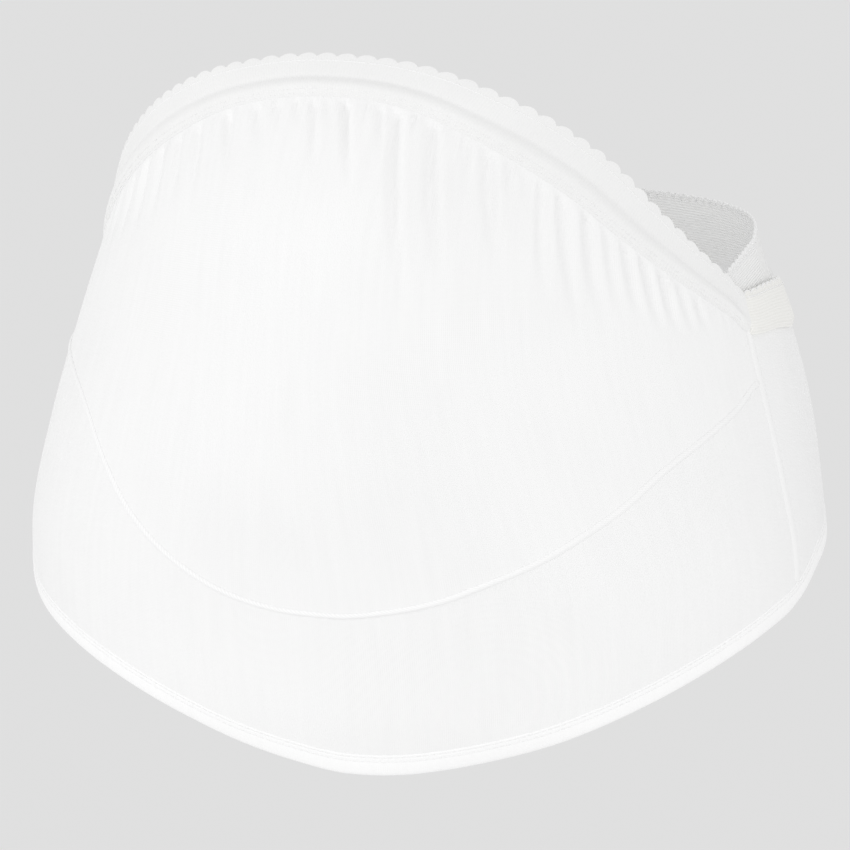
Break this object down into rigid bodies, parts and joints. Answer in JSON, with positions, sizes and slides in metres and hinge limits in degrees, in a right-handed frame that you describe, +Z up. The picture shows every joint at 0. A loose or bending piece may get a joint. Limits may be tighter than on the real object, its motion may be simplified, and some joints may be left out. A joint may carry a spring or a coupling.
{
  "type": "maternity support belt",
  "caption": "Maternity support belt in its worn form: a stretch ring that is deep in front and shallow behind, gathered along a scalloped elastic, with side tabs and a turned hem.",
  "frame": {"origin": "on the ring's upright axis, at the height where it is widest", "axes": "+Z up, the front of the belt faces -Y, left is +X"},
  "size_m": [0.3652, 0.2967, 0.3076],
  "materials": {
    "knit": "smooth white stretch knit",
    "firm_knit": "smooth firm white stretch knit, double",
    "plush_elastic": "matt white plush elastic with a scalloped edge",
    "ribbed_elastic": "white elastic with fine ribs along its length",
    "tab_elastic": "ribbed ivory elastic",
    "thread": "white stitching thread"
  },
  "bodies": {
    "root": {"front_panel": "knit", "support_panel": "firm_knit", "back_panel": "firm_knit", "belly_seam": "thread", "side_seam_left": "thread", "side_seam_right": "thread", "hem_band": "knit", "top_band": "plush_elastic", "back_band": "ribbed_elastic", "side_tab_left": "tab_elastic", "side_tab_right": "tab_elastic"}
  },
  "joints": []
}
